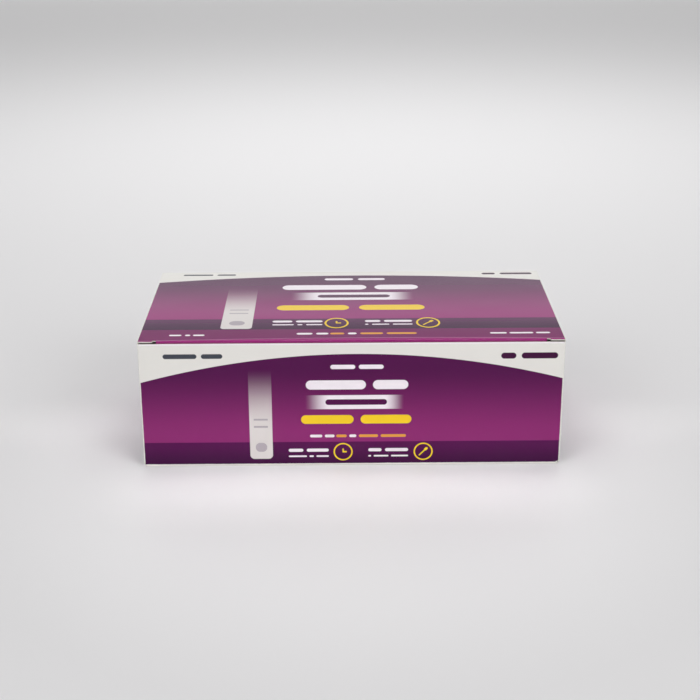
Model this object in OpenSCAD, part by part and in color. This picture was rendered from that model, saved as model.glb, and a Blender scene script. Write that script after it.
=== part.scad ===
// Carton of test kits: a printed boxboard carton with a tuck lid, packed with foil
// pouches, wrapped swabs, a rack of capped buffer vials and a folded leaflet.
// Millimetres, +Z up, the front faces -Y, origin at the middle of the carton's bottom.

/* [Carton] */
// Width of the closed carton, end to end
carton_w = 240; // [230:1:280]
// Depth of the closed carton, front to back
carton_d = 126; // [124:1:160]
// Height of the closed carton
carton_h = 77; // [75:1:100]
// Thickness of the boxboard
board_t = 0.5; // [0.4:0.05:0.65]
// Inner radius of a crease
crease_r = 0.4; // [0.3:0.1:0.8]
// Drop from the lid's underside to the front panel's cut top edge
front_drop = 1; // [0.6:0.1:2]
// Relief left open at each end of a flap's crease
relief = 1.2; // [0.8:0.1:2]
// Width of the glue flap inside the left end panel
glue_w = 16; // [12:1:22]

/* [Lid] */
// Height of the tuck flap, down from the lid's top
tuck_h = 20; // [14:0.5:21]
// Angle at which the tuck flap leans inward
tuck_lean = 6; // [6:0.5:8]
// Corner radius of the tuck flap
tuck_corner_r = 9; // [4:1:12]
// Width of the plain ear at each end of the lid's front edge
ear_w = 8.6; // [6:0.2:12]
// Width of the notch between an ear and the rolled crease
ear_notch = 2; // [1:0.2:3]
// Corner radius of an ear
ear_corner_r = 1; // [0.5:0.1:2]
// Clearance between the tuck flap and the front panel
tuck_gap = 0.3; // [0.2:0.05:0.6]
// Clearance between the lid and the dust flaps under it
lid_gap = 0.1; // [0.05:0.05:0.3]

/* [Flaps] */
// Length of a dust flap, in from the end panel
dust_l = 58; // [40:1:70]
// Taper of a dust flap's long edges, in degrees
dust_taper = 12; // [5:1:15]
// Corner radius of a dust flap's tip
dust_corner_r = 10; // [4:1:14]
// Clearance between a dust flap and the crease of the tuck flap
dust_gap = 0.6; // [0.4:0.1:1.5]
// Length of a glued end flap in the bottom
end_flap_l = 60; // [45:1:66]
// Taper of a glued end flap's sides, in degrees
end_taper = 35; // [30:1:38]
// Width of the seam between the two main flaps of the bottom
seam_w = 0.4; // [0.2:0.1:0.8]
// Distance from the bottom's middle line to each half of the locked seam
lock_d = 9; // [6:1:14]
// Reach of a lock tab past the seam that it bridges
tab_reach = 17; // [12:1:22]
// Clearance between a lock tab and the end flap beside it
tab_gap = 7; // [4:0.5:12]

/* [Pouches] */
// Length of a foil pouch
pouch_l = 112; // [100:1:118]
// Height of a foil pouch, standing on its long edge
pouch_h = 54; // [44:1:55]
// Thickness of a foil pouch over the test inside
pouch_t = 6; // [5:0.1:6.2]
// Width of the sealed margin
seal_w = 7; // [5:0.5:9]
// Thickness of the sealed margin
seal_t = 0.3; // [0.2:0.05:0.5]
// Length of the flat that the test inside gives a pouch
pouch_flat_l = 74; // [66:1:80]
// Height of the flat that the test inside gives a pouch
pouch_flat_h = 24; // [20:1:28]
// Depth of a tear notch in a pouch's margin
tear_d = 2.4; // [1:0.1:3]
// Clearance between neighbouring pouches
pouch_gap = 0.1; // [0.05:0.05:0.2]

/* [Swabs] */
// Length of a wrapped swab
wrap_l = 180; // [165:1:200]
// Width of a wrapped swab
wrap_w = 22; // [18:0.5:23]
// Thickness of a wrapper's two webs where they are sealed
wrap_t = 0.3; // [0.2:0.05:0.4]
// Diameter of the wrapper's bulge over the handle
shaft_d = 2.5; // [2:0.1:2.8]
// Length of the swab
swab_l = 150; // [130:1:156]
// Diameter of the wrapper's bulge over the flocked tip
tip_d = 3.2; // [2.9:0.1:3.3]
// Length of the flocked tip
tip_l = 17; // [12:1:22]
// Radius of the thumb cut-out in the wrapper's peel end
thumb_r = 5; // [3:0.5:6]
// Clearance between stacked wrappers
stack_gap = 0.1; // [0.05:0.05:0.2]
// Clearance between wrappers side by side
row_gap = 1; // [0.4:0.1:1.2]
// Least height kept free over the leaflet, under the dust flaps
headroom = 2.6; // [1:0.2:5.6]

/* [Vials] */
// Diameter of a vial's body
vial_d = 13.6; // [12:0.1:16]
// Height of a vial's body up to its shoulder
vial_h = 37; // [32:1:38]
// Height of the conical well in a vial's foot
well_h = 13; // [8:0.5:20]
// Wall of a vial
vial_wall = 1; // [0.8:0.1:1.4]
// Diameter of a vial's neck
neck_d = 10.6; // [9:0.1:11]
// Height of a vial's neck
neck_h = 7; // [5:0.5:8]
// Diameter of a cap over its ribs
cap_d = 15; // [14.4:0.1:17]
// Height of a cap's skirt
cap_h = 9; // [8.5:0.1:9.5]
// Height of the nozzle over the cap's skirt
nozzle_h = 7; // [4:0.5:8]
// Diameter of the nozzle at its foot
nozzle_d = 7; // [5:0.2:8]
// Diameter of the nozzle at its tip
nozzle_tip_d = 3.2; // [2.4:0.1:4.5]
// Clearance between a cap and the neck inside it
cap_gap = 0.1; // [0.05:0.05:0.2]
// Height of the rack's top over the carton's bottom
rack_h = 26; // [18:1:30]
// Clearance round a vial in its rack hole
hole_gap = 0.4; // [0.3:0.1:0.8]
// Clearance between the rack and what stands next to it
rack_gap = 0.5; // [0.3:0.1:1]
// Least finger room between two caps from end to end
cap_room_x = 5; // [4:0.5:7]
// Least finger room between two caps from front to back
cap_room_y = 11; // [10:0.5:15]

/* [Leaflet] */
// Length of the folded leaflet
leaflet_l = 148; // [120:1:160]
// Width of the folded leaflet
leaflet_w = 105; // [90:1:112]
// Thickness of one folded panel of the leaflet
leaf_t = 0.3; // [0.2:0.05:0.35]

/* [Hidden] */
test_count = 20;
cap_ribs = 20;
leaf_panels = 6;
rib_d = 0.5;
rib_w = 0.9;
lap = 0.2;
cut = 1;
arc_steps = 6;
dust_shoulder_gap = 0.4;
glue_taper = 5;
$fn = 48;

board_purple = "#7b2f6c";
board_white = "#ecebe8";
foil_silver = "#c9ccd1";
wrap_paper = "#f3f3ef";
vial_clear = "#e6edf0";
cap_purple = "#6d3f8e";
sheet_white = "#fbfbf8";

// Crease and wall heights
crease_out = crease_r + board_t;
inner_w = carton_w - 2 * board_t;
inner_d = carton_d - 2 * board_t;
floor_z = 2 * board_t;
lid_under_z = carton_h - board_t;
front_top_z = lid_under_z - front_drop;
dust_top_z = lid_under_z - lid_gap;
dust_bend_z = dust_top_z - crease_out;
rim_z = min(front_top_z, dust_bend_z);
tube_z = board_t + crease_out;

// Lid and tuck flap
fold_y = -carton_d / 2 + board_t + tuck_gap + crease_out;
tuck_w = carton_w - 2 * (ear_w + ear_notch);
tuck_l = (tuck_h - crease_out * (1 + sin(tuck_lean))) / cos(tuck_lean);
tuck_inner_y = -inner_d / 2 + tuck_gap + board_t + tuck_h * sin(tuck_lean);

// Contents, from the left end to the right
pouch_pitch = pouch_t + pouch_gap;
pouch_x0 = -inner_w / 2 + 2 * rack_gap + board_t;
pouch_row_w = test_count * pouch_pitch;
rack_x0 = pouch_x0 + pouch_row_w + rack_gap;
rack_x1 = inner_w / 2 - rack_gap;
rack_w = rack_x1 - rack_x0;
rack_d = inner_d - 2 * rack_gap;
vial_columns = floor((rack_w - 2 * crease_out) / (cap_d + cap_room_x));
vial_rows = floor(rack_d / (cap_d + cap_room_y));
vial_pitch_x = (rack_w - 2 * crease_out) / vial_columns;
vial_pitch_y = rack_d / vial_rows;
vial_top_z = floor_z + vial_h + cap_h + nozzle_h;

// Swabs fill the room on the pouches and caps, behind the tuck flap, with the leaflet on top
pile_z = max(floor_z + pouch_h, vial_top_z) + stack_gap;
layer_h = tip_d + stack_gap;
wrap_pitch = wrap_w + row_gap;
pile_y = (tuck_inner_y + inner_d / 2) / 2;
leaflet_t = leaf_panels * leaf_t;
pile_h = dust_top_z - board_t - headroom - leaflet_t - pile_z;
swab_layers = max(0, floor(pile_h / layer_h));
swab_columns = floor((inner_d / 2 - tuck_inner_y - row_gap) / wrap_pitch);
swab_count = swab_layers * swab_columns;
leaflet_z = pile_z + swab_layers * layer_h;

function two_digits(i) = str(i < 10 ? "0" : "", i);
pouch_names = [for (i = [1:1:test_count]) str("pouch_", two_digits(i))];
swab_names = [for (i = [1:1:swab_count]) str("swab_", two_digits(i))];
vial_names = [for (i = [1:1:vial_columns]) str("vials_row_", i)];
cap_names = [for (i = [1:1:vial_columns]) str("caps_row_", i)];

single_names = ["carton", "lid", "leaflet", "vial_rack"];

// Points of an arc that rounds corner b between a and c
function unit(v) = v / norm(v);
function turn(v, a) = [v.x * cos(a) - v.y * sin(a), v.x * sin(a) + v.y * cos(a)];
function fillet(a, b, c, r) =
    let (to_a = unit(a - b), to_c = unit(c - b), half = acos(to_a * to_c) / 2)
    let (middle = b + unit(to_a + to_c) * r / sin(half), start = b + to_a * r / tan(half) - middle)
    let (side = sign(to_c.x * to_a.y - to_c.y * to_a.x))
    [for (k = [0:arc_steps]) middle + turn(start, side * (180 - 2 * half) * k / arc_steps)];

// Outline with corner i rounded to radii[i], and left sharp where that is 0
function softened(points, radii) =
    let (n = len(points))
    [for (i = [0:n - 1])
        each radii[i] > 0
            ? fillet(points[(i + n - 1) % n], points[i], points[(i + 1) % n], radii[i])
            : [points[i]]];

// Rectangle with round corners, centred
module round_rect(w, d, r) {
    square([w - 2 * r, d], center = true);
    square([w, d - 2 * r], center = true);
    for (x = [-1, 1], y = [-1, 1]) translate([x * (w / 2 - r), y * (d / 2 - r)]) circle(r);
}

// Quarter or other turn of the board round a crease, print side outward, centre at the origin
module crease_arc(angle) {
    reach = 2 * crease_out;
    intersection() {
        difference() {
            circle(crease_out);
            circle(crease_r);
        }
        polygon([[0, 0], [0, -reach],
            reach * [sin(angle / 2), -cos(angle / 2)], reach * [sin(angle), -cos(angle)]]);
    }
}

// Board seen edge on: flat panels of the given lengths with a crease between each two
module folded(panels, bends, i = 0) {
    square([panels[i], board_t]);
    if (i < len(bends)) {
        translate([panels[i], crease_out]) crease_arc(bends[i]);
        translate([panels[i], crease_out]) rotate(bends[i]) translate([0, -crease_out])
            folded(panels, bends, i + 1);
    }
}

// Section drawn in Y and Z, run along X
module along_x(width) {
    rotate([90, 0, 90]) translate([0, 0, -width / 2]) linear_extrude(width) children();
}

// Section drawn in X and Z, run along Y
module along_y(depth) {
    rotate([90, 0, 0]) translate([0, 0, -depth / 2]) linear_extrude(depth) children();
}

// Flap creased inward at the foot of a wall: out is the wall's distance from the middle
module foot_flap(out, z, width, rise, length) {
    along_x(width) translate([-out, z + crease_out + rise]) rotate(-90) folded([rise, length], [90]);
}

// The same flap at the head of a wall
module head_flap(out, z, width, rise, length) {
    translate([0, 0, z]) mirror([0, 0, 1]) foot_flap(out, 0, width, rise, length);
}

// Tube of the four walls, up to the lowest rim
module walls() {
    translate([0, 0, tube_z]) linear_extrude(rim_z - tube_z) difference() {
        round_rect(carton_w, carton_d, crease_out);
        round_rect(inner_w, inner_d, crease_r);
    }
}

// Strip that carries the front or back wall from the tube up to height top
module wall_top(y, top) {
    translate([-carton_w / 2 + crease_out, y, rim_z - lap])
        cube([carton_w - 2 * crease_out, board_t, top - rim_z + lap]);
}

// Outline of a dust flap, u inward from the end panel and v towards the front
module dust_outline() {
    shoulder_v = inner_d / 2 - dust_shoulder_gap;
    front_v = -fold_y - dust_gap;
    back_v = -carton_d / 2 + relief;
    narrowing = dust_l * tan(dust_taper);
    polygon(softened(
        [[0, back_v], [0, shoulder_v], [ear_w, shoulder_v], [ear_w, front_v],
            [dust_l, front_v - narrowing], [dust_l, back_v + narrowing]],
        [0, 0, 1, 0, dust_corner_r, dust_corner_r]));
}

module dust_flap(side) {
    intersection() {
        rotate([0, 0, 90 * side])
            head_flap(carton_w / 2, dust_top_z, carton_d, dust_bend_z - rim_z + lap, dust_l);
        translate([side * carton_w / 2, 0, rim_z - lap - cut])
            mirror([0, 1, 0]) mirror([(side + 1) / 2, 0, 0])
            linear_extrude(carton_h) dust_outline();
    }
}

// Front main flap of the bottom, its edge stepped at step_x where the two main flaps lock
module main_flap(step_x) {
    half_w = carton_w / 2 - relief;
    far_y = lock_d - seam_w / 2;
    near_y = -lock_d - seam_w / 2;
    intersection() {
        foot_flap(carton_d / 2, 0, 2 * half_w, board_t + lap, carton_d / 2 + lock_d);
        translate([0, 0, -cut]) linear_extrude(tube_z + 2 * cut) polygon([
            [-half_w, -carton_d / 2], [half_w, -carton_d / 2], [half_w, near_y],
            [step_x, near_y], [step_x, far_y], [-half_w, far_y]]);
    }
}

// Tab of a main flap that bridges the seam, one board higher
module lock_tab(side) {
    tab_x0 = lock_d + seam_w;
    tab_x1 = carton_w / 2 - end_flap_l - tab_gap;
    translate([0, 0, board_t]) linear_extrude(board_t) polygon(softened(
        [[tab_x0, -lock_d - tab_reach / 2], [tab_x1, -lock_d - tab_reach / 2],
            [tab_x1, -lock_d + tab_reach], [tab_x0, -lock_d + tab_reach]] * side,
        [0, 0, lock_d, lock_d]));
}

// End flap of the bottom, tapered and glued onto the main flaps
module end_flap(side) {
    half_d = carton_d / 2 - relief;
    tip_half_d = half_d - end_flap_l * tan(end_taper);
    intersection() {
        rotate([0, 0, 90 * side]) foot_flap(carton_w / 2, board_t, carton_d, lap, end_flap_l);
        linear_extrude(tube_z + cut) polygon([
            [side * carton_w / 2, -half_d], [side * carton_w / 2, half_d],
            [side * (carton_w / 2 - end_flap_l), tip_half_d],
            [side * (carton_w / 2 - end_flap_l), -tip_half_d]]);
    }
}

// Flap from the back wall, glued inside the left end panel
module glue_flap() {
    low = tube_z + relief;
    high = rim_z - relief;
    translate([-inner_w / 2, inner_d / 2, 0]) rotate([90, 0, 90]) linear_extrude(board_t)
        polygon([[0, low], [0, high], [-glue_w, high - glue_taper], [-glue_w, low + glue_taper]]);
}

module carton() color(board_purple) {
    walls();
    wall_top(-carton_d / 2, front_top_z);
    wall_top(inner_d / 2, lid_under_z);
    for (side = [-1, 1]) dust_flap(side);
    main_flap(lock_d - seam_w / 2);
    rotate([0, 0, 180]) main_flap(-lock_d - seam_w / 2);
    for (side = [-1, 1]) {
        lock_tab(side);
        end_flap(side);
    }
    glue_flap();
}

// Lid panel with an ear at each end of its front edge
module lid_panel() {
    half_w = carton_w / 2;
    ear_x = half_w - ear_w;
    intersection() {
        translate([0, 0, lid_under_z]) linear_extrude(board_t) polygon(softened(
            [[-half_w, -carton_d / 2], [-ear_x, -carton_d / 2], [-ear_x, fold_y], [ear_x, fold_y],
                [ear_x, -carton_d / 2], [half_w, -carton_d / 2],
                [half_w, carton_d / 2], [-half_w, carton_d / 2]],
            [ear_corner_r, ear_corner_r, 0, 0, ear_corner_r, ear_corner_r, 0, 0]));
        along_x(carton_w) {
            translate([-carton_d / 2, lid_under_z]) square([carton_d - board_t, board_t]);
            translate([inner_d / 2, lid_under_z]) circle(board_t);
        }
    }
}

module lid() color(board_purple) {
    lid_panel();
    intersection() {
        along_x(tuck_w) translate([fold_y + lap, carton_h]) rotate(180)
            folded([lap, tuck_l], [90 + tuck_lean]);
        along_y(carton_d) polygon(softened(
            [[-tuck_w / 2, carton_h + cut], [-tuck_w / 2, carton_h - tuck_h],
                [tuck_w / 2, carton_h - tuck_h], [tuck_w / 2, carton_h + cut]],
            [0, tuck_corner_r, tuck_corner_r, 0]));
    }
}

// Section of a pouch's swelling, thickness in X and a side of the given size in Y
module swell(size, flat) {
    inner = size / 2 - seal_w;
    polygon([
        [-seal_t / 2, -inner], [-pouch_t / 2, -flat / 2],
        [-pouch_t / 2, flat / 2], [-seal_t / 2, inner],
        [seal_t / 2, inner], [pouch_t / 2, flat / 2],
        [pouch_t / 2, -flat / 2], [seal_t / 2, -inner]]);
}

// Foil pouch standing on its long edge, swollen by the test sealed inside
module pouch() color(foil_silver) {
    difference() {
        translate([-seal_t / 2, -pouch_l / 2, 0]) cube([seal_t, pouch_l, pouch_h]);
        for (z = [0, pouch_h]) translate([0, -pouch_l / 2 + seal_w / 2 + tear_d, z]) rotate([0, 90, 0])
            cylinder(h = pouch_t, r = tear_d, center = true, $fn = 4);
    }
    intersection() {
        translate([0, 0, seal_w]) linear_extrude(pouch_h - 2 * seal_w) swell(pouch_l, pouch_flat_l);
        translate([0, 0, pouch_h / 2]) along_y(pouch_l) swell(pouch_h, pouch_flat_h);
    }
}

// Peel wrapper with a swab sealed inside, lying along X with the tip to the right
module wrapped_swab() color(wrap_paper) {
    tip_x = swab_l / 2;
    linear_extrude(wrap_t, center = true) difference() {
        square([wrap_l, wrap_w], center = true);
        translate([-wrap_l / 2, 0]) circle(thumb_r);
    }
    rotate([0, 90, 0]) rotate_extrude() polygon(concat(
        [[0, -tip_x], [shaft_d / 2, -tip_x + shaft_d], [shaft_d / 2, tip_x - tip_l - tip_d],
            [tip_d / 2, tip_x - tip_l]],
        [for (a = [0:15:90]) [tip_d / 2 * cos(a), tip_x - tip_d + tip_d * sin(a)]]));
}

// Vial with a flat foot, a conical well and a plain neck
module vial() color(vial_clear) {
    body_r = vial_d / 2;
    bore_r = body_r - vial_wall;
    neck_r = neck_d / 2;
    rotate_extrude() polygon([
        [0, 0], [body_r - vial_wall / 2, 0], [body_r, vial_wall / 2], [body_r, vial_h - vial_wall],
        [body_r - vial_wall / 2, vial_h], [neck_r, vial_h], [neck_r, vial_h + neck_h],
        [neck_r - vial_wall, vial_h + neck_h], [neck_r - vial_wall, vial_h - vial_wall],
        [bore_r, vial_h - 3 * vial_wall], [bore_r, well_h], [vial_wall, 2 * vial_wall], [0, 2 * vial_wall]]);
}

// Ribbed cap with a dropper nozzle, its foot at the vial's shoulder
module cap() color(cap_purple) {
    skin_r = cap_d / 2 - rib_d;
    bore_r = neck_d / 2 + cap_gap;
    roof_z = neck_h + cap_gap;
    difference() {
        union() {
            cylinder(h = cap_h, r = skin_r);
            linear_extrude(cap_h - 2 * rib_d) for (i = [0:cap_ribs - 1]) rotate(i * 360 / cap_ribs)
                translate([skin_r - rib_d, -rib_w / 2]) square([2 * rib_d, rib_w]);
            translate([0, 0, cap_h]) cylinder(h = nozzle_h, r1 = nozzle_d / 2, r2 = nozzle_tip_d / 2);
        }
        translate([0, 0, -cut]) cylinder(h = roof_z + cut, r = bore_r);
    }
}

// Place of vial row r in column c of the rack
function vial_spot(c, r) = [
    rack_x0 + crease_out + (c + 0.5) * vial_pitch_x,
    -rack_d / 2 + (r + 0.5) * vial_pitch_y];

// Folded board bridge with a round hole for each vial
module vial_rack() color(board_white) {
    top_l = rack_w - 2 * crease_out;
    leg_l = rack_h - crease_out;
    difference() {
        along_y(rack_d) translate([rack_x1, floor_z]) rotate(90)
            folded([leg_l, top_l, leg_l], [90, 90]);
        for (c = [0:1:vial_columns - 1], r = [0:1:vial_rows - 1]) translate(vial_spot(c, r))
            translate([0, 0, rack_h]) cylinder(h = 4 * board_t, d = vial_d + 2 * hole_gap, center = true);
    }
}

// Leaflet folded back and forth, its panels parted by fine slits from either long edge
module leaflet() color(sheet_white) {
    slit = leaf_t / 6;
    fold_w = 2 * leaf_t;
    translate([0, pile_y, leaflet_z]) difference() {
        translate([-leaflet_l / 2, -leaflet_w / 2, 0]) cube([leaflet_l, leaflet_w, leaflet_t]);
        for (i = [1:leaf_panels - 1]) translate([0, (i % 2 * 2 - 1) * fold_w, i * leaf_t])
            cube([leaflet_l + cut, leaflet_w, slit], center = true);
    }
}

module place_pouch(i) {
    translate([pouch_x0 + (i + 0.5) * pouch_pitch, 0, floor_z]) pouch();
}

// Every second layer lies the other way round, so that the pile stays level
module place_swab(i) {
    layer = floor(i / swab_columns);
    column = i % swab_columns;
    y = pile_y + (column - (swab_columns - 1) / 2) * wrap_pitch;
    translate([0, y, pile_z + tip_d / 2 + layer * layer_h])
        rotate([0, 0, 180 * (layer % 2)]) wrapped_swab();
}

module place_vials(c) {
    for (r = [0:1:vial_rows - 1]) translate(concat(vial_spot(c, r), floor_z)) vial();
}

module place_caps(c) {
    for (r = [0:1:vial_rows - 1]) translate(concat(vial_spot(c, r), floor_z + vial_h)) cap();
}

carton();
lid();
leaflet();
vial_rack();
for (i = [0:1:test_count - 1]) place_pouch(i);
for (i = [0:1:swab_count - 1]) place_swab(i);
for (c = [0:1:vial_columns - 1]) place_vials(c);
for (c = [0:1:vial_columns - 1]) place_caps(c);
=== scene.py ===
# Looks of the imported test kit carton: printed board, packed contents, pale studio.
# Metres, +Z up, the front faces -Y. Print and small pieces are laid out in millimetres.
import math

import bpy
from mathutils import Matrix, Vector, noise


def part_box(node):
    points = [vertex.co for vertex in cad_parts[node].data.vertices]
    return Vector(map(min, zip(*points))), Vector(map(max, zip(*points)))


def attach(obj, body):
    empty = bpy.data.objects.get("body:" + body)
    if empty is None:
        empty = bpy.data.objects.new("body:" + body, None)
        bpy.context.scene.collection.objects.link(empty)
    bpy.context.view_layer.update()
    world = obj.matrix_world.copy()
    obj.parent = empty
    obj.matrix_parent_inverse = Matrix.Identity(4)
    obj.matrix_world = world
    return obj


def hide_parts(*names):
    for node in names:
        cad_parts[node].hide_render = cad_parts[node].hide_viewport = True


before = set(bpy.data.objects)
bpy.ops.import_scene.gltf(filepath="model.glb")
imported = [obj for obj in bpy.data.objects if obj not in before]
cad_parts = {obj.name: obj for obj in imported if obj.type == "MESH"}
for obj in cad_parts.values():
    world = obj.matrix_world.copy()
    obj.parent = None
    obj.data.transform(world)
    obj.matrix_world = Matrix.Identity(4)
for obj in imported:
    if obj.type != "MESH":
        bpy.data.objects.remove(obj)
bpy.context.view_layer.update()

MM = 0.001


def ink(red, green, blue):
    """Colour as a screen shows it, 0 to 255, turned into the shader's scale."""
    def channel(value):
        value /= 255
        return value / 12.92 if value <= 0.04045 else ((value + 0.055) / 1.055) ** 2.4
    return channel(red), channel(green), channel(blue), 1


# Sizes of the closed carton, from the frame, in millimetres
shell_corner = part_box("carton")[1] / MM
HALF_W, HALF_D = shell_corner.x, shell_corner.y
LID_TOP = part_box("lid")[1].z / MM

# Sizes of its board, creases and flaps, as the frame's solids have them
BOARD = 0.5
CREASE = 0.9
FRONT_TOP = 75.5
DUST_TOP = 76.4
FOLD_Y = -61.3
FOLD_Z = LID_TOP - CREASE
TUCK_END = 109.5
TUCK_LEAN = math.radians(6)
AT_SKIN = (CREASE - 0.08, CREASE - 0.04)

# Unprinted lines at the walls' foot and the lid's sides, how far the lid's print bleeds down its
# flap, and the films of print: thickness, gap under the front panel's top, and corners
FOOT_LINE = 0.6
SIDE_LINE = 0.5
BLEED = 7
INK_T = 0.03
FILM_GAP = 0.05
FILM_CORNER = 0.5

# White along the bends: how far past the start of a bend its print gives way to white, how
# uneven that is, and the same for the worn, scuffed corner
BARE = (0.1, 0.3)
BARE_UNEVEN = 0.25
SCUFF = (2.3, 2.7)
SCUFF_UNEVEN = 2.4

# Gloss of the varnish, and how the lid panel bends down past a line
WALL_IOR = 1.26
LID_IOR = 1.45
SATIN = (0.24, 0.27)
DULLER_INSIDE = 0.5
BOW_FROM = -20
BOW_FALL = 0.0009

# Colours of the board and its print, with painted light on the walls' rim and the lid's front
# crease
COATED_WHITE = ink(240, 238, 233)
# Painted highlight along the top rim of the walls
RIM_HIGHLIGHT = ink(252, 247, 250)
RAW_BOARD = ink(234, 231, 225)
RAW_FIBRE = ink(222, 217, 208)
PLUM = ink(84, 14, 76)
MAGENTA = ink(146, 45, 116)
LID_MAGENTA = ink(156, 34, 120)
BAND_TOP = ink(88, 14, 80)
BAND_FOOT = ink(66, 10, 64)
LID_FRONT = ink(122, 26, 96)
# The crease's pink is its magenta print painted brighter as light on a rounder curve; then a
# painted highlight
CREASE_LIT_PINK = ink(150, 16, 112)
CREASE_HIGHLIGHT = ink(226, 170, 212)
PANEL_PALE = ink(232, 226, 224)
PANEL_GREY = ink(186, 176, 184)
INK_YELLOW = ink(254, 214, 44)
INK_ORANGE = ink(236, 164, 72)
INK_WHITE = ink(255, 247, 254)
INK_PLUM = ink(66, 16, 60)
INK_GREY = ink(70, 74, 84)

# Fields of colour: heights on the walls and y on the lid. A shade goes from one colour to the
# next over its two places, and an edge changes to the next field between its two. The rim is a
# painted highlight. The painted highlight on the front crease begins, is full, fades and is gone
# at its four places.
WALL_SHADES = {"band": (1, 15), "purple": (17, 62)}
WALL_EDGES = {"purple": (14.9, 15.2), "head": (68.9, 69.1), "rim": (74.5, 74.8)}
LID_SHADES = {"lip": (-58.9, -58.4), "band": (-44, -27), "purple": (-25, 50)}
LID_EDGES = {"band": (-44.2, -43.8), "purple": (-26.7, -26.3), "head": (54.4, 54.8)}
HIGHLIGHT_SPAN = (-58.75, -58.55, -58.35, -58.15)
HIGHLIGHT_SHARE = 0.45

# An arch is its middle along x and how fast it falls away to both sides
HEAD_ARCH = (2.5, 0.00113)
LID_HEAD_ARCH = (4, 0.00082)
# The lip's arch bows the crease's painted pink and highlight deeper in the middle, in the place of
# a rounder crease there
LID_LIP_ARCH = (12, 0.00021)

# Strokes of the two signs: middle, length, width and turn, as parts of the ring's radius
HANDS = [(0, 0.22, 0.18, 0.62, 0), (0.17, 0, 0.5, 0.18, 0)]
STICK = [(-0.1, -0.1, 1.1, 0.14, 0.8), (0.3, 0.31, 0.46, 0.3, 0.8)]

# Plans of the print. A line of bars is each bar's start and end, the line's middle and its height.
# A banner is its middle and size, a sign its middle and strokes, and a panel its middle, foot,
# width and height. The signs of a plan share a radius, a line and how far they are stretched.
FRONT_PLAN = {
    "left": ([(-106, -87), (-84.5, -72.5)], 68, 2.8),
    "right": ([(84, 92.5), (95.5, 116)], 67.4, 3.6),
    "banner": ((1.7, 39.7), (58, 8.6)),
    "banner_fade": (-27, -12, 18, 30),
    "on_banner": ([(-15, 20)], 39.7, 3.4),
    "white": [
        ([(-12, 2), (4, 18)], 61.2, 2.6),
        ([(-26, 8), (12, 32)], 50.3, 5.6),
        ([(-24, -17), (-15.5, -10), (-1.5, 2.5)], 18.7, 1.7),
        ([(-36.4, -28), (-26, -13.4)], 9.8, 2),
        ([(-36.4, -26), (-24.5, -22), (-20.5, -13.4)], 6, 1),
        ([(9.4, 17), (19, 32.3)], 9.8, 2),
        ([(9.4, 11), (12.5, 21), (22.5, 32.3)], 6, 1)],
    "yellow": ([(-29, 1), (5, 34)], 29, 5.4),
    "signs": [((-5.1, 8.7), HANDS), ((41, 8.6), STICK)],
    "sign_shape": (5.1, 0.8, 1),
    "orange": ([(-9, -3), (4, 15), (16.5, 31)], 18.7, 1.7),
    "panel": (-52, 4.5, 13, 56),
}
LID_PLAN = {
    "left": ([(-106, -87), (-84.5, -72.5)], 57, 2.6),
    "right": ([(84, 92.5), (95.5, 116)], 57, 3.4),
    "banner": ((1, 14), (76, 14)),
    "banner_fade": (-37, -18, 22, 39),
    "on_banner": ([(-20, 24)], 14, 5.4),
    "white": [
        ([(-16, 2), (5, 22)], 47, 3.8),
        ([(-42, 10), (15, 42)], 31, 9),
        ([(-31, -22), (-20, -13), (-2, 3)], -51.5, 2.8),
        ([(-45.5, -34), (-32, -16.5)], -31, 3.2),
        ([(-45.5, -33), (-31, -28), (-26, -16.5)], -36.5, 1.7),
        ([(8, 17), (19, 35.4)], -31, 3.2),
        ([(8, 10), (12, 22), (24, 35.4)], -36.5, 1.7),
        ([(-103, -96), (-94, -91), (-89.5, -83)], -53, 2.2),
        ([(78.5, 88), (89.5, 103), (104.5, 112.6)], -52, 2.2)],
    "yellow": ([(-44, -1), (5, 44)], -7, 9),
    "signs": [((-8.4, -34), HANDS), ((44.5, -34), STICK)],
    "sign_shape": (6.4, 1.1, 1.25),
    "orange": ([(-12, -4), (5, 18), (20, 37)], -51.5, 2.8),
    "panel": (-66, -43, 18, 74),
}

# The panel's marks, as parts of its height and width: a round spot, and two lines above it
PANEL_CORNER = 2.5
PALE_BELOW = 0.35
SPOT_UP, SPOT_WIDE, SPOT_TALL, SPOT_CORNER = 0.13, 0.5, 0.1, 0.2
LINES_UP, LINE_WIDE, LINE_TALL, LINE_CORNER = (0.36, 0.44), 0.62, 0.02, 0.4

# How many of the contents there are
PACKS = 20
VIAL_ROWS = 5
WRAPPERS_IN_LAYER = 5

# A pouch, from its middle: the test in it, its seals, its tear notches, the cuts of its web,
# half the thickness of its flat web and the least that crinkles leave of it, how far its
# swelling stays inside its solid, and the depths of its crinkles and of its bow
TEST_U, TEST_V = 35, 10
SEAL_U, SEAL_V = 49, 20
POUCH_MIDDLE_Z = 28
NOTCH_IN, NOTCH_HALF, NOTCH_DEEP = 6, 1.4, 2.2
POUCH_CUTS = (46, 24)
WEB_HALF, WEB_LEAST = 0.15, 0.12
SWELL_INSIDE = 0.5
CRINKLE, FOIL_BOW = 0.35, 0.45

# A wrapper, from its middle: the swab's tip and the end of its stick, the seal, the thumb cut,
# the cuts of its web, half its thickness when flat, its lift over the stick and over the tip,
# how wide the stick and the tent over it are, and the depths of its ripples and of its edges
TIP_U, STICK_END, WRAPPER_SEAL = 66, 72, 77
THUMB_R = 5
WRAPPER_CUTS = (72, 16)
PAPER_HALF = 0.12
STICK_LIFT, TIP_LIFT = 1.1, 0.35
STICK_V, TENT_V = 0.6, 4.5
RIPPLE, EDGE_RIPPLE = 0.14, 0.5

# The leaflet: its panels, the steps along a panel and round a fold, how far its top panel
# springs up, and its paper
LEAFLET_PANELS = 6
PANEL_STEPS, FOLD_STEPS = 12, 6
PANEL_SPRING = 1.6
PAPER_T = 0.1

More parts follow.
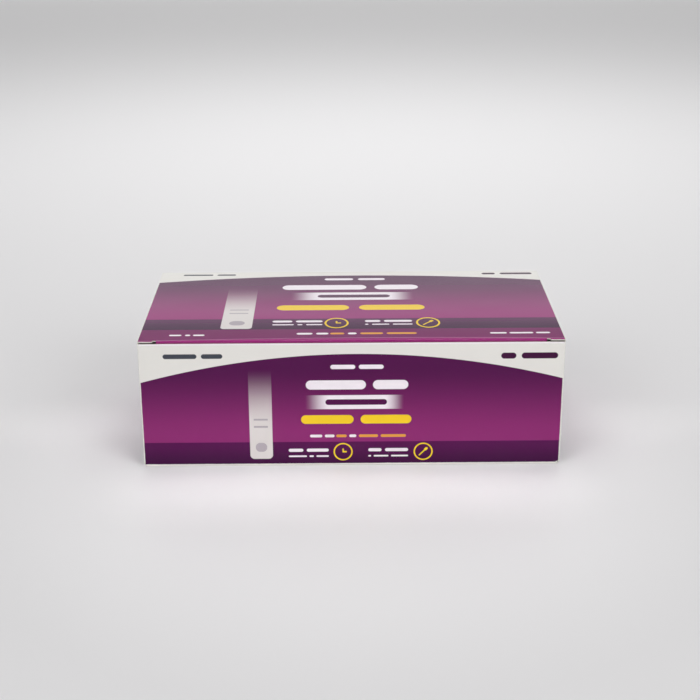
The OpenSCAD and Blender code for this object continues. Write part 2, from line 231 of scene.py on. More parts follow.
# Dashes in the place of its text. A line takes part of a row's height, and its margin and end
# are parts of a column's width. Each line draws a chance of 0 to 1: over the shortening its end
# goes from full to short, and past the last number the line is blank.
COLUMN_W = 43
ROWS_PER_MM = 0.36
ROW_LINE = (0.35, 0.45, 0.6, 0.7)
WORDS_PER_MM, WORD_GAP = 0.5, (0.36, 0.4)
MARGIN, FULL_LINE, SHORT_LINE = 0.06, 0.92, 0.35
SHORTENING, BLANK_LINE = (0.72, 0.95), 0.93


class Finish:
    """A finish built node by node. Places on the piece are in millimetres."""

    def __init__(self, name, roughness=0.5, ior=1.45):
        self.made = bpy.data.materials.new(name)
        self.made.use_nodes = True
        self.nodes = self.made.node_tree.nodes
        self.links = self.made.node_tree.links
        self.skin = self.nodes["Principled BSDF"]
        self.skin.inputs["Roughness"].default_value = roughness
        self.skin.inputs["IOR"].default_value = ior
        place = self.nodes.new("ShaderNodeTexCoord").outputs["Object"]
        self.at = self.vector("MULTIPLY", place, (1 / MM,) * 3)
        self.x, self.y, self.z = self.apart(self.at)

    def feed(self, socket, value):
        """Links another node's output to the socket, or sets the socket to a plain value."""
        if isinstance(value, bpy.types.NodeSocket):
            self.links.new(value, socket)
        else:
            socket.default_value = value

    def apart(self, vector):
        """The three parts of a vector."""
        node = self.nodes.new("ShaderNodeSeparateXYZ")
        self.links.new(vector, node.inputs[0])
        return node.outputs

    def join(self, x, y, z=0.0):
        """A vector of three parts."""
        node = self.nodes.new("ShaderNodeCombineXYZ")
        for socket, value in zip(node.inputs, (x, y, z)):
            self.feed(socket, value)
        return node.outputs[0]

    def vector(self, kind, first, second=(0, 0, 0)):
        """Vector Math of a kind. A length or dot product comes out as a number."""
        node = self.nodes.new("ShaderNodeVectorMath")
        node.operation = kind
        self.feed(node.inputs[0], first)
        self.feed(node.inputs[1], second)
        return node.outputs["Value" if kind in ("LENGTH", "DOT_PRODUCT") else "Vector"]

    def sum(self, kind, first, second=0.0):
        """Math of a kind on one or two numbers."""
        node = self.nodes.new("ShaderNodeMath")
        node.operation = kind
        self.feed(node.inputs[0], first)
        self.feed(node.inputs[1], second)
        return node.outputs[0]

    def plus(self, first, second):
        return self.sum("ADD", first, second)

    def less(self, first, second):
        return self.sum("SUBTRACT", first, second)

    def times(self, first, second):
        return self.sum("MULTIPLY", first, second)

    def ramp(self, value, low, high, start=0.0, end=1.0):
        """Start up to low, end from high, and smooth between."""
        node = self.nodes.new("ShaderNodeMapRange")
        node.interpolation_type = "SMOOTHSTEP"
        for socket, given in zip(node.inputs, (value, low, high, start, end)):
            self.feed(socket, given)
        return node.outputs[0]

    def stretch(self, value, start, full, end, gone):
        """Mask of a stretch that comes in from start to full and goes out from end to gone."""
        return self.times(self.ramp(value, start, full), self.ramp(value, end, gone, 1, 0))

    def over(self, below, above, mask):
        """One colour laid over another where the mask is 1."""
        node = self.nodes.new("ShaderNodeMix")
        node.data_type = "RGBA"
        self.feed(node.inputs[0], mask)
        self.feed(node.inputs[6], below)
        self.feed(node.inputs[7], above)
        return node.outputs[2]

    def cloud(self, per_mm, detail=2.0, stretch=(1, 1, 1)):
        """Noise of about 0 to 1 with so many swells to the millimetre."""
        node = self.nodes.new("ShaderNodeTexNoise")
        self.feed(node.inputs["Vector"], self.vector("MULTIPLY", self.at, stretch))
        node.inputs["Scale"].default_value = per_mm
        node.inputs["Detail"].default_value = detail
        return node.outputs[0]

    def pill(self, flat, middle, size, corner, turn=0.0, soft=0.15):
        """Mask of a rectangle with round corners in the flat of the print."""
        away = self.vector("SUBTRACT", flat, (*middle, 0))
        if turn:
            node = self.nodes.new("ShaderNodeVectorRotate")
            node.rotation_type = "Z_AXIS"
            node.inputs["Angle"].default_value = -turn
            self.links.new(away, node.inputs["Vector"])
            away = node.outputs[0]
        half = (size[0] / 2 - corner, size[1] / 2 - corner, 1)
        away = self.vector("MAXIMUM", self.vector(
            "SUBTRACT", self.vector("ABSOLUTE", away), half), (0, 0, 0))
        return self.ramp(self.vector("LENGTH", away), corner - soft, corner + soft, 1, 0)

    def ring(self, flat, radius, line, soft=0.1):
        """Mask of a ring about the middle of the flat."""
        gap = self.sum("ABSOLUTE", self.less(self.vector("LENGTH", flat), radius))
        return self.ramp(gap, line / 2 - soft, line / 2 + soft, 1, 0)

    def any_of(self, masks):
        """1 where any of the masks is."""
        total = masks[0]
        for mask in masks[1:]:
            total = self.sum("MAXIMUM", total, mask)
        return total

    def relief(self, *layers):
        """Bump from pairs of height and depth in millimetres."""
        normal = None
        for height, depth in layers:
            node = self.nodes.new("ShaderNodeBump")
            node.inputs["Distance"].default_value = depth * MM
            self.feed(node.inputs["Height"], height)
            if normal:
                self.links.new(normal, node.inputs["Normal"])
            normal = node.outputs[0]
        self.links.new(normal, self.skin.inputs["Normal"])

    def colour(self, value):
        self.feed(self.skin.inputs["Base Color"], value)

    def gloss(self, value):
        self.feed(self.skin.inputs["Roughness"], value)


def varnish(finish, outside=None, bow=None):
    """Faint waves and fine grain of the board, and its varnish: satin outside, dull inside."""
    waves = [(finish.cloud(0.03, 1), 0.25), (finish.cloud(1.2, 1), 0.006)]
    if bow is not None:
        waves.append((bow, 1))
    finish.relief(*waves)
    roughness = finish.ramp(finish.cloud(0.02, 1), 0.3, 0.7, *SATIN)
    if outside is not None:
        roughness = finish.plus(roughness, finish.times(finish.less(1, outside), DULLER_INSIDE))
    finish.gloss(roughness)


def arched(finish, along, middle, fall_away):
    """Places along the print, bowed by an arch."""
    away = finish.sum("POWER", finish.less(finish.x, middle), 2)
    return finish.plus(along, finish.times(away, fall_away))


def wall_fields(finish):
    """White head with an arched foot, purple brighter downward, a dark band and a painted
    highlight along the rim.
    """
    purple = finish.over(MAGENTA, PLUM, finish.ramp(finish.z, *WALL_SHADES["purple"]))
    band = finish.over(BAND_FOOT, BAND_TOP, finish.ramp(finish.z, *WALL_SHADES["band"]))
    field = finish.over(band, purple, finish.ramp(finish.z, *WALL_EDGES["purple"]))
    head = finish.ramp(arched(finish, finish.z, *HEAD_ARCH), *WALL_EDGES["head"])
    field = finish.over(field, COATED_WHITE, head)
    # A painted highlight along the rim
    return finish.over(field, RIM_HIGHLIGHT, finish.ramp(finish.z, *WALL_EDGES["rim"]))


def lid_fields(finish):
    """The same fields over the lid; its front crease painted a lit pink, with a painted highlight
    line.
    """
    purple = finish.over(LID_MAGENTA, PLUM, finish.ramp(finish.y, *LID_SHADES["purple"]))
    band = finish.over(BAND_FOOT, BAND_TOP, finish.ramp(finish.y, *LID_SHADES["band"]))
    rolled = arched(finish, finish.y, *LID_LIP_ARCH)
    # Painted light: the crease's print made a brighter pink, and a thin painted highlight along
    # its edge
    lip = finish.over(CREASE_LIT_PINK, LID_FRONT, finish.ramp(rolled, *LID_SHADES["lip"]))
    painted_highlight = finish.times(finish.stretch(rolled, *HIGHLIGHT_SPAN), HIGHLIGHT_SHARE)
    lip = finish.over(lip, CREASE_HIGHLIGHT, painted_highlight)
    field = finish.over(lip, band, finish.ramp(finish.y, *LID_EDGES["band"]))
    field = finish.over(field, purple, finish.ramp(finish.y, *LID_EDGES["purple"]))
    head = finish.ramp(arched(finish, finish.y, *LID_HEAD_ARCH), *LID_EDGES["head"])
    return finish.over(field, COATED_WHITE, head)


def lid_bow(finish):
    """The lid panel bends down a little towards its front crease."""
    past = finish.sum("MAXIMUM", finish.less(BOW_FROM, finish.y), 0)
    return finish.times(finish.sum("POWER", past, 2), -BOW_FALL)


def raw_board(finish):
    """Uncoated inner side and cut edges of the board, with short fibres."""
    fleck = finish.ramp(finish.cloud(2.2, 4, (1, 1, 2.5)), 0.35, 0.7)
    return finish.over(RAW_BOARD, RAW_FIBRE, fleck)


def shell_board():
    """Printed outside of the carton's shell, white along its bends, and its plain inside."""
    finish = Finish("shell_board", ior=WALL_IOR)
    past = finish.join(
        finish.less(finish.sum("ABSOLUTE", finish.x), HALF_W - CREASE),
        finish.less(finish.sum("ABSOLUTE", finish.y), HALF_D - CREASE),
        finish.less(CREASE, finish.z))
    reach = finish.vector("LENGTH", finish.vector("MAXIMUM", past, (0, 0, 0)))
    flap_top = finish.ramp(finish.z, DUST_TOP - 0.1, DUST_TOP - 0.05)
    outside = finish.any_of([finish.ramp(reach, *AT_SKIN), flap_top])
    past_x, past_y, past_foot = finish.apart(past)
    upright = finish.sum("MINIMUM", past_x, past_y)
    bend = finish.sum("MAXIMUM", upright, finish.plus(past_foot, FOOT_LINE))
    bend_unevenness = finish.times(finish.cloud(0.5, 3), BARE_UNEVEN)
    bare = finish.ramp(finish.plus(bend, bend_unevenness), *BARE)
    printed = finish.over(wall_fields(finish), COATED_WHITE, bare)
    finish.colour(finish.over(raw_board(finish), printed, outside))
    varnish(finish, outside)
    return finish.made


def lid_board():
    """Printed top, crease and bleed of the lid, and its plain underside."""
    finish = Finish("lid_board", ior=LID_IOR)
    from_middle = finish.sum("ABSOLUTE", finish.x)
    from_fold = finish.join(0, finish.less(finish.y, FOLD_Y), finish.less(finish.z, FOLD_Z))
    upper = finish.ramp(finish.z, LID_TOP - 0.06, LID_TOP - 0.03)
    round_fold = finish.ramp(finish.vector("LENGTH", from_fold), *AT_SKIN)
    for limit in (finish.ramp(finish.z, FOLD_Z - 0.1, FOLD_Z),
                  finish.ramp(finish.y, FOLD_Y, FOLD_Y + 0.1, 1, 0),
                  finish.ramp(from_middle, TUCK_END, TUCK_END + 0.1, 1, 0)):
        round_fold = finish.times(round_fold, limit)
    out_of_flap = (0, -math.cos(TUCK_LEAN), -math.sin(TUCK_LEAN))
    flap = finish.ramp(finish.vector("DOT_PRODUCT", from_fold, out_of_flap), *AT_SKIN)
    flap = finish.times(flap, finish.ramp(finish.z, FOLD_Z - 0.1, FOLD_Z, 1, 0))
    outside = finish.any_of([upper, round_fold, flap])
    bleed = finish.ramp(finish.z, LID_TOP - BLEED - 0.2, LID_TOP - BLEED)
    printed = finish.over(COATED_WHITE, lid_fields(finish), bleed)
    margin = finish.ramp(from_middle, HALF_W - SIDE_LINE, HALF_W - SIDE_LINE + 0.05)
    printed = finish.over(printed, COATED_WHITE, margin)
    finish.colour(finish.over(raw_board(finish), printed, outside))
    varnish(finish, outside, lid_bow(finish))
    return finish.made


def words(finish, flat, spans, middle, height):
    """A line of plain bars in the place of words, each from one x to another."""
    return finish.any_of([
        finish.pill(flat, ((start + end) / 2, middle), (end - start, height), height / 2)
        for start, end in spans])


def sign(finish, flat, middle, strokes, radius, line, stretched):
    """A plain ring round a few short strokes."""
    around = finish.vector("SUBTRACT", flat, (*middle, 0))
    even = finish.vector("MULTIPLY", around, (1, 1 / stretched, 1))
    marks = [finish.pill(even, (x * radius, y * radius), (long * radius, wide * radius),
                         wide * radius / 2, turn) for x, y, long, wide, turn in strokes]
    return finish.any_of([finish.ring(even, radius, line)] + marks)


def strip_panel(finish, base, flat, up, middle, foot, wide, tall):
    """A plain upright panel of our own, pale at its foot and fading upward, with three marks."""
    panel = finish.pill(flat, (middle, foot + tall / 2), (wide, tall), PANEL_CORNER)
    pale = finish.ramp(up, foot + tall * PALE_BELOW, foot + tall, 1, 0)
    base = finish.over(base, PANEL_PALE, finish.times(panel, pale))
    marks = [finish.pill(flat, (middle, foot + tall * SPOT_UP),
                         (wide * SPOT_WIDE, tall * SPOT_TALL), wide * SPOT_CORNER)]
    for line_up in LINES_UP:
        marks.append(finish.pill(flat, (middle, foot + tall * line_up),
                                 (wide * LINE_WIDE, tall * LINE_TALL), LINE_CORNER))
    return finish.over(base, PANEL_GREY, finish.any_of(marks))


def lay_print(finish, base, up, plan):
    """Lays a plan's bars, fading banner, signs and panel over the fields of colour."""
    flat = finish.join(finish.x, up)
    base = finish.over(base, INK_GREY, words(finish, flat, *plan["left"]))
    base = finish.over(base, INK_PLUM, words(finish, flat, *plan["right"]))
    banner = finish.times(finish.stretch(finish.x, *plan["banner_fade"]),
                          finish.pill(flat, *plan["banner"], 0.3))
    base = finish.over(base, INK_WHITE, banner)
    base = finish.over(base, PLUM, words(finish, flat, *plan["on_banner"]))
    white = [words(finish, flat, *line) for line in plan["white"]]
    base = finish.over(base, INK_WHITE, finish.any_of(white))
    yellow = [words(finish, flat, *plan["yellow"])]
    for middle, strokes in plan["signs"]:
        yellow.append(sign(finish, flat, middle, strokes, *plan["sign_shape"]))
    base = finish.over(base, INK_YELLOW, finish.any_of(yellow))
    base = finish.over(base, INK_ORANGE, words(finish, flat, *plan["orange"]))
    return strip_panel(finish, base, flat, up, *plan["panel"])


def corner_scuff(finish, base):
    """Print rubbed off the lower right corner of the front panel."""
    near = finish.vector("LENGTH", finish.join(
        finish.less(finish.x, HALF_W - CREASE), finish.less(finish.z, CREASE)))
    worn = finish.plus(near, finish.times(finish.cloud(1.1, 3), SCUFF_UNEVEN))
    return finish.over(base, COATED_WHITE, finish.ramp(worn, *SCUFF, 1, 0))


def front_ink():
    """Print on the front panel."""
    finish = Finish("front_ink", ior=WALL_IOR)
    base = lay_print(finish, wall_fields(finish), finish.z, FRONT_PLAN)
    finish.colour(corner_scuff(finish, base))
    varnish(finish)
    return finish.made


def lid_ink():
    """Print on the lid, the front panel's laid out flatter."""
    finish = Finish("lid_ink", ior=LID_IOR)
    finish.colour(lay_print(finish, lid_fields(finish), finish.y, LID_PLAN))
    varnish(finish, bow=lid_bow(finish))
    return finish.made


def plain_board():
    """Uncoated board of the vial rack."""
    finish = Finish("plain_board", 0.75, 1.35)
    finish.colour(raw_board(finish))
    finish.relief((finish.cloud(0.8, 4), 0.03))
    return finish.made


def leaflet_sheet():
    """Thin printed paper, with plain grey dashes in columns in the place of its text."""
    finish = Finish("leaflet_sheet", 0.7, 1.4)
    along = finish.times(finish.y, ROWS_PER_MM)
    row = finish.sum("FLOOR", along)
    lines = finish.stretch(finish.sum("FRACT", along), *ROW_LINE)
    across = finish.sum("DIVIDE", finish.x, COLUMN_W)
    column, within = finish.sum("FLOOR", across), finish.sum("FRACT", across)
    dashes = finish.nodes.new("ShaderNodeTexNoise")
    dashes.inputs["Scale"].default_value = WORDS_PER_MM
    dashes.inputs["Detail"].default_value = 0
    finish.feed(dashes.inputs["Vector"], finish.join(finish.x, finish.times(row, 7.3)))
    draw = finish.nodes.new("ShaderNodeTexWhiteNoise")
    finish.feed(draw.inputs["Vector"], finish.join(column, row))
    chance = draw.outputs["Value"]
    line_end = finish.ramp(chance, *SHORTENING, FULL_LINE, SHORT_LINE)
    text = finish.times(lines, finish.ramp(dashes.outputs[0], *WORD_GAP))
    for limit in (finish.sum("GREATER_THAN", within, MARGIN),
                  finish.sum("LESS_THAN", within, line_end),
                  finish.sum("LESS_THAN", chance, BLANK_LINE)):
        text = finish.times(text, limit)
    finish.colour(finish.over(ink(244, 244, 240), ink(150, 150, 156), text))
    finish.relief((finish.cloud(0.12, 2), 0.2), (finish.cloud(2.5, 3), 0.01))
    return finish.made


def foil_laminate():
    """Satin foil with fine wrinkles and ribbed seals."""
    finish = Finish("foil_laminate", 0.36, 1.5)
    finish.skin.inputs["Metallic"].default_value = 0.55
    finish.colour(finish.over(ink(208, 211, 216), ink(228, 230, 233), finish.cloud(0.2, 2)))
    u = finish.sum("ABSOLUTE", finish.y)
    v = finish.sum("ABSOLUTE", finish.less(finish.z, POUCH_MIDDLE_Z))
    on_seal = finish.any_of([finish.ramp(u, SEAL_U, SEAL_U + 0.3),
                             finish.ramp(v, SEAL_V, SEAL_V + 0.3)])
    ribs = finish.sum("SINE", finish.times(finish.plus(finish.y, finish.z), 6))
    finish.relief((finish.cloud(0.35, 3), 0.35), (finish.times(ribs, on_seal), 0.06))
    return finish.made


def wrapper_paper():
    """White medical paper with a fine tooth."""
    finish = Finish("wrapper_paper", 0.62, 1.4)
    finish.colour(finish.over(ink(240, 240, 236), ink(228, 229, 228), finish.cloud(0.4, 4)))
    finish.relief((finish.cloud(0.15, 2), 0.15), (finish.cloud(2.5, 3), 0.015))
    return finish.made


def vial_plastic():
    """Natural polypropylene, milky and half clear."""
    finish = Finish("vial_plastic", 0.28, 1.49)
    finish.skin.inputs["Transmission Weight"].default_value = 0.55
    finish.colour(finish.over(ink(226, 234, 238), ink(236, 241, 243), finish.cloud(0.3, 2)))
    finish.relief((finish.cloud(0.6, 2), 0.02))
    return finish.made


def cap_plastic():
    """Moulded purple plastic with a soft sheen."""
    finish = Finish("cap_plastic", 0.36, 1.46)
    finish.colour(finish.over(ink(96, 52, 128), ink(108, 60, 142), finish.cloud(0.5, 2)))
    finish.relief((finish.cloud(2.0, 3), 0.01))
    return finish.made


def floor_painted_light():
    """Pale seamless sweep with the faintest gloss, painted paler in front of the carton as a pool
    of light.
    """
    finish = Finish("floor_painted_light", 0.45, 1.35)
    # Painted pool of light: paler near a point in front of the carton, fading out from 110 to 240
    # mm, with a faint random tone over it
    from_front = finish.vector("SUBTRACT", finish.at, (0, -80, 0))
    far = finish.ramp(finish.vector("LENGTH", from_front), 110, 240)
    painted_falloff = finish.plus(far, finish.times(finish.cloud(0.002, 2), 0.1))
    finish.colour(finish.over(ink(243, 242, 243), ink(230, 229, 230), painted_falloff))
    return finish.made


def active():
    """The object that was added last."""
    return bpy.context.view_layer.objects.active


def settle(piece, name, material, body="packed_carton", stands_for=()):
    """Names a finished piece, puts its place into its mesh and hands it to the frame."""
    bpy.ops.object.select_all(action="DESELECT")
    piece.select_set(True)
    bpy.context.view_layer.objects.active = piece
    bpy.ops.object.transform_apply(location=True, rotation=True, scale=True)
    piece.name = piece.data.name = name
    piece.data.materials.clear()
    piece.data.materials.append(material)
    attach(piece, body)
    if stands_for:
        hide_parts(*stands_for)
    return piece


def ink_film(name, middle, size, turn, out, material, body):
    """A film of print: a plane cut to size, its corners rounded, given its thickness."""
    bpy.ops.object.select_all(action="DESELECT")
    bpy.ops.mesh.primitive_plane_add(size=1, location=Vector(middle) * MM, rotation=turn)
    film = active()
    film.scale = (size[0] * MM, size[1] * MM, 1)
    bpy.ops.object.transform_apply(location=True, rotation=True, scale=True)
    bpy.ops.object.mode_set(mode="EDIT")
    bpy.ops.mesh.select_all(action="SELECT")
    bpy.ops.mesh.bevel(offset=FILM_CORNER * MM, segments=4, affect="VERTICES")
    bpy.ops.mesh.select_all(action="SELECT")
    bpy.ops.mesh.extrude_region_move(TRANSFORM_OT_translate={"value": Vector(out) * INK_T * MM})
    bpy.ops.mesh.select_all(action="SELECT")
    bpy.ops.mesh.normals_make_consistent(inside=False)
    bpy.ops.object.mode_set(mode="OBJECT")
    return settle(film, name, material, body)


def web(size, cuts, thickness):
    """Two sealed webs, closed round the rim: a grid given its thickness."""
    bpy.ops.object.select_all(action="DESELECT")
    bpy.ops.mesh.primitive_grid_add(x_subdivisions=cuts[0], y_subdivisions=cuts[1], size=1)
    sheet = active()
    sheet.scale = (size[0] * MM, size[1] * MM, 1)
    bpy.ops.object.transform_apply(scale=True)
    skin = sheet.modifiers.new("webs", "SOLIDIFY")
    skin.thickness = thickness * MM
    skin.offset = 0
    bpy.ops.object.modifier_apply(modifier=skin.name)
    bpy.ops.object.shade_smooth()
    return sheet


def fall(value, full, gone):
    """1 up to full, smoothly down to 0 at gone."""
    t = min(max((value - full) / (gone - full), 0), 1)
    return 1 - t * t * (3 - 2 * t)


def sway(seed, *place):
    """Smooth noise at a place, of about -1 to 1 and the same at each run."""
    return noise.noise(Vector(place) + seed)


def foil_pouch(number, material):
    """A sealed pouch on its long edge, swollen by its test, with crinkles and tear notches."""
    name = "pouch_%02d" % number
    low, high = (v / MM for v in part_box(name))
    middle = (low + high) / 2
    wide, tall, deep = high.y - low.y, high.z - low.z, high.x - low.x
    pouch = web((wide, tall), POUCH_CUTS, 2 * WEB_HALF)
    seed = Vector((number * 7.3, number * 3.1, 0))
    for point in pouch.data.vertices:
        u, v = point.co.x / MM, point.co.y / MM
        side = 1 if point.co.z > 0 else -1
        swollen = fall(abs(u), TEST_U, SEAL_U) * fall(abs(v), TEST_V, SEAL_V)
        inside = fall(abs(u), SEAL_U - 2, SEAL_U + 1) * fall(abs(v), SEAL_V - 2, SEAL_V + 1)
        crinkle = sway(seed, u * 0.16, v * 0.22, side * 9)
        crinkle += 0.5 * sway(seed, u * 0.4, v * 0.5, side * 5)
        crinkle *= CRINKLE * inside * (1.1 - swollen)
        bow = FOIL_BOW * sway(seed, u * 0.02, v * 0.03, 2) * (1 - swollen)
        lift = max(WEB_HALF + (deep / 2 - SWELL_INSIDE) * swollen + crinkle, WEB_LEAST)
        point.co.z = (side * lift + bow) * MM
    for point in pouch.data.vertices:
        from_end = point.co.x / MM + wide / 2
        on_long_edge = abs(abs(point.co.y / MM) - tall / 2) < 0.1
        if abs(from_end - NOTCH_IN) < NOTCH_HALF and on_long_edge:
            point.co.y *= 1 - 2 * NOTCH_DEEP / tall
    pouch.rotation_euler = (math.radians(90), 0, math.radians(90))
    pouch.location = middle * MM
    return settle(pouch, "foil_" + name, material, stands_for=[name])


def swab_wrapper(number, material):
    """A peel wrapper sealed round a swab, with a thumb cut at its peel end."""
    name = "swab_%02d" % number
    low, high = (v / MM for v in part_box(name))
    middle = (low + high) / 2
    long, wide = high.x - low.x, high.y - low.y
    wrapper = web((long, wide), WRAPPER_CUTS, 2 * PAPER_HALF)
    seed = Vector((number * 5.7, number * 2.9, 1))
    for point in wrapper.data.vertices:
        u, v = point.co.x / MM, point.co.y / MM
        side = 1 if point.co.z > 0 else -1
        tip = fall(abs(u - TIP_U), 6, 10)
        tent = fall(abs(u), STICK_END, WRAPPER_SEAL) * fall(abs(v), STICK_V, TENT_V + tip)
        body = (STICK_LIFT + TIP_LIFT * tip) * tent
        ripple = RIPPLE * sway(seed, u * 0.06, v * 0.12, 3) * fall(abs(v), 5, 11)
        edge = EDGE_RIPPLE * sway(seed, u * 0.025, v * 0.05, 6) * (1 - fall(abs(v), 6, 11))
        point.co.z = (side * (PAPER_HALF + body) + (ripple + edge) * (1 - body * 0.5)) * MM
    bpy.ops.object.select_all(action="DESELECT")
    bpy.ops.mesh.primitive_cylinder_add(vertices=40, radius=THUMB_R * MM, depth=8 * MM,
                                        location=(-long / 2 * MM, 0, 0))
    cutter = active()
    cut = wrapper.modifiers.new("thumb", "BOOLEAN")
    cut.operation = "DIFFERENCE"
    cut.object = cutter
    bpy.ops.object.select_all(action="DESELECT")
    wrapper.select_set(True)
    bpy.context.view_layer.objects.active = wrapper
    bpy.ops.object.modifier_apply(modifier=cut.name)
    bpy.data.objects.remove(cutter)
    turned = ((number - 1) // WRAPPERS_IN_LAYER) % 2
    wrapper.rotation_euler = (0, 0, math.pi * turned)
    wrapper.location = middle * MM
    return settle(wrapper, "wrapped_" + name, material, stands_for=[name])


def fold_path(wide, thick, panels):
    """Points across the leaflet, to and fro from the lowest panel to the top one."""
    pitch = thick / panels
    bend = pitch / 2
    half = wide / 2 - bend
    path = []
    for panel in range(panels):
        way = 1 if panel % 2 == 0 else -1
        level = (panel + 0.5) * pitch
        for step in range(PANEL_STEPS + 1):
            share = step / PANEL_STEPS
            spring = PANEL_SPRING * share ** 2 if panel == panels - 1 else 0
            path.append((way * half * (2 * share - 1), level + spring))
        if panel < panels - 1:
            for step in range(1, FOLD_STEPS):
                turn = math.pi * step / FOLD_STEPS
                path.append((way * (half + bend * math.sin(turn)),
                             level + bend * (1 - math.cos(turn))))
    return path


def folded_leaflet(material):
    """One sheet folded to and fro, with round folds and its top panel a little sprung."""
    low, high = (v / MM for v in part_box("leaflet"))
    middle = (low + high) / 2
    path = fold_path(high.y - low.y, high.z - low.z, LEAFLET_PANELS)
    (y0, z0), (y1, z1) = path[:2]
    bpy.ops.object.select_all(action="DESELECT")
    bpy.ops.mesh.primitive_plane_add(
        size=1, location=Vector((middle.x, middle.y + (y0 + y1) / 2, low.z + z0)) * MM)
    sheet = active()
    sheet.scale = ((high.x - low.x) * MM, (y1 - y0) * MM, 1)
    bpy.ops.object.transform_apply(location=True, rotation=True, scale=True)
    far = (middle.y + (y0 + y1) / 2) * MM
    bpy.ops.object.mode_set(mode="EDIT")
    bpy.ops.mesh.select_mode(type="EDGE")
    bpy.ops.mesh.select_all(action="DESELECT")
    bpy.ops.object.mode_set(mode="OBJECT")
    points = sheet.data.vertices
    for edge in sheet.data.edges:
        edge.select = all(points[i].co.y > far for i in edge.vertices)
    bpy.ops.object.mode_set(mode="EDIT")
    for (y0, z0), (y1, z1) in zip(path[1:], path[2:]):
        bpy.ops.mesh.extrude_region_move(
            TRANSFORM_OT_translate={"value": (0, (y1 - y0) * MM, (z1 - z0) * MM)})
    bpy.ops.mesh.select_all(action="SELECT")
    bpy.ops.mesh.normals_make_consistent(inside=False)
    bpy.ops.object.mode_set(mode="OBJECT")
    paper = sheet.modifiers.new("paper", "SOLIDIFY")
    paper.thickness = PAPER_T * MM
    paper.offset = 0
    bpy.ops.object.modifier_apply(modifier=paper.name)
    bpy.ops.object.shade_smooth_by_angle(angle=math.radians(50))
    return settle(sheet, "folded_leaflet", material, stands_for=["leaflet"])


# Finishes of the CAD nodes. The leaflet's node is hidden, and its sheet takes the same finish.
SHEET = leaflet_sheet()
FINISHES = {"carton": shell_board(), "lid": lid_board(), "vial_rack": plain_board(),
            "leaflet": SHEET}
VIAL, CAP = vial_plastic(), cap_plastic()
for row in range(1, VIAL_ROWS + 1):
    FINISHES["vials_row_%d" % row] = VIAL
    FINISHES["caps_row_%d" % row] = CAP
for name, finish in FINISHES.items():
    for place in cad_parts[name].material_slots:
        place.material = finish

# Print
print_foot = CREASE + FOOT_LINE
ink_film("front_print", (0, -HALF_D, (print_foot + FRONT_TOP) / 2),
         (2 * (HALF_W - CREASE), FRONT_TOP - print_foot - FILM_GAP), (math.radians(90), 0, 0),
         (0, -1, 0), front_ink(), "packed_carton")
print_back = HALF_D - BOARD
ink_film("lid_print", (0, (FOLD_Y + print_back) / 2, LID_TOP),
         (2 * (HALF_W - SIDE_LINE), print_back - FOLD_Y), (0, 0, 0),
         (0, 0, 1), lid_ink(), "tuck_lid")

# Soft packs
FOIL, PAPER = foil_laminate(), wrapper_paper()
for number in range(1, PACKS + 1):
    foil_pouch(number, FOIL)
    swab_wrapper(number, PAPER)
folded_leaflet(SHEET)

# Floor
bpy.ops.object.select_all(action="DESELECT")
bpy.ops.mesh.primitive_circle_add(vertices=96, radius=9, fill_type="NGON")
floor = active()
floor.name = "floor"
floor.data.materials.append(floor_painted_light())

# Camera, where the photograph was taken from
YAW, PITCH, ROLL = (math.radians(angle) for angle in (0.36, 21.0, -0.24))
STANDPOINT = Vector((-0.5, -799.0, 353.9)) * MM
LENS, SENSOR_W = 72.4, 36
aim = Matrix.Rotation(-YAW, 4, "Z")
camera_data = bpy.data.cameras.new("camera")
camera_data.lens = LENS
camera_data.sensor_width = SENSOR_W
camera_data.clip_start = 0.05
camera = bpy.data.objects.new("camera", camera_data)
camera.matrix_world = (
    Matrix.Translation(aim @ STANDPOINT) @ aim
    @ Matrix.Rotation(math.radians(90) - PITCH, 4, "X") @ Matrix.Rotation(ROLL, 4, "Z"))
bpy.context.collection.objects.link(camera)
bpy.context.scene.camera = camera


def soft_box(name, place, size, power, toward, spread):
    """An oblong studio light turned to a place, its light held within a spread in degrees."""
    data = bpy.data.lights.new(name, "AREA")
    data.shape = "RECTANGLE"
    data.size, data.size_y = size
    data.energy = power
    data.spread = math.radians(spread)
    lamp = bpy.data.objects.new(name, data)
    lamp.location = place
    lamp.rotation_euler = (Vector(toward) - Vector(place)).to_track_quat("-Z", "Y").to_euler()
    bpy.context.collection.objects.link(lamp)


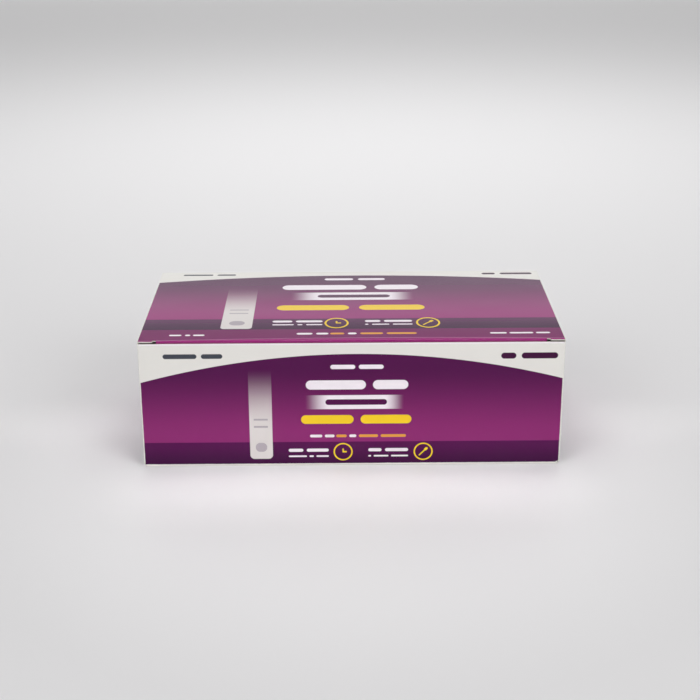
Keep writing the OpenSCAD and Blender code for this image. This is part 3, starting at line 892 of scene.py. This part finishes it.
def studio_world(room, *sweep):
    """Dim room on the camera's side and overhead, and the bright sweep behind the carton.

    The sweep's two parts are multiplied. Each is an axis of the looking direction, the two
    places along it between which the part changes, and its values there.
    """
    world = bpy.data.worlds.new("studio")
    world.use_nodes = True
    nodes, links = world.node_tree.nodes, world.node_tree.links
    way = nodes.new("ShaderNodeSeparateXYZ")
    links.new(nodes.new("ShaderNodeTexCoord").outputs["Generated"], way.inputs[0])
    parts = []
    for axis, *change in sweep:
        ramp = nodes.new("ShaderNodeMapRange")
        ramp.interpolation_type = "SMOOTHSTEP"
        links.new(way.outputs[axis], ramp.inputs[0])
        for socket, value in zip(ramp.inputs[1:], change):
            socket.default_value = value
        parts.append(ramp.outputs[0])
    bright = nodes.new("ShaderNodeMath")
    bright.operation = "MULTIPLY_ADD"
    links.new(parts[0], bright.inputs[0])
    links.new(parts[1], bright.inputs[1])
    bright.inputs[2].default_value = room
    links.new(bright.outputs[0], nodes["Background"].inputs["Strength"])
    nodes["Background"].inputs["Color"].default_value = (1, 1, 1, 1)
    bpy.context.scene.world = world


# Lights: name, place, size, watts, the place it is turned to, and spread
CARTON = (0, 0, 0.04)
for light in (
        ("overhead", (0, 0.1, 1.6), (1.6, 1.6), 4.5, CARTON, 180),
        ("front_left", (-1.0, -1.3, 1.1), (0.9, 0.9), 8.8, CARTON, 180),
        ("front_right", (1.0, -1.3, 1.1), (0.9, 0.9), 11, CARTON, 180),
        ("front_floor", (0, -0.2, 0.7), (0.5, 0.12), 0.05, (0, -0.2, 0), 100),
        ("front_foot", (0, -0.09, 0.2), (0.24, 0.03), 0.0145, (0, -0.09, 0), 30),
        ("left_foot", (-0.4, 0, 0.25), (0.03, 0.1), 0.0022, (-0.125, 0, 0), 14),
        ("right_foot", (0.4, 0, 0.25), (0.03, 0.1), 0.002, (0.125, 0, 0), 14),
        ("backdrop", (0.03, 0.8, 1.0), (0.9, 0.5), 2.9, (0.03, 0.8, 0), 120),
        ("far_sweep", (0, 2.9, 1.7), (3.2, 1.0), 9, (0, 2.9, 0), 110)):
    soft_box(*light)
studio_world(0.25, ("Y", 0.0, 0.6, 0.0, 0.72), ("Z", 0.26, 0.42, 1.0, 0.2))
bpy.context.scene.view_settings.view_transform = "Standard"
